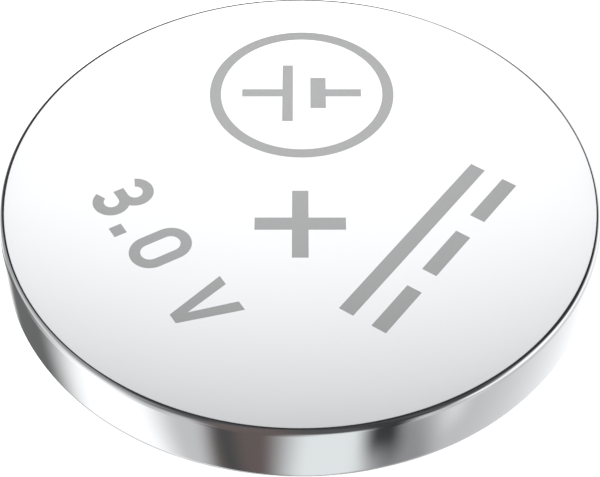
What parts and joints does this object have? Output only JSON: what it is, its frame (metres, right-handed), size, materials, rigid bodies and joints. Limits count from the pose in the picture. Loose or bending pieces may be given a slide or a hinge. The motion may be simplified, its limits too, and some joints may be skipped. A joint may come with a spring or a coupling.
{
  "type": "lithium coin cell",
  "caption": "Round flat lithium cell: a mirror-bright steel can crimped over a plastic gasket and a stepped negative cap.",
  "frame": {"origin": "centre of the negative contact face, which is the cell's lowest point", "axes": "+Z along the cell's axis, from the negative cap to the positive face; +Y across the cell, away from the viewer; +X to the viewer's right"},
  "size_m": [0.0244, 0.0244, 0.003],
  "materials": {
    "can_steel": "mirror-bright rolled stainless steel",
    "cap_steel": "satin stainless steel",
    "gasket_plastic": "moulded polypropylene, satin",
    "lithium_metal": "dull cut metal",
    "separator_felt": "porous polypropylene felt",
    "ring_steel": "plain stainless sheet",
    "cathode_powder": "pressed black powder, matt"
  },
  "bodies": {
    "root": {"positive_can": "can_steel", "negative_cap": "cap_steel", "sealing_gasket": "gasket_plastic", "lithium_anode": "lithium_metal", "separator": "separator_felt", "cathode_ring": "ring_steel", "cathode_pellet": "cathode_powder"}
  },
  "joints": []
}
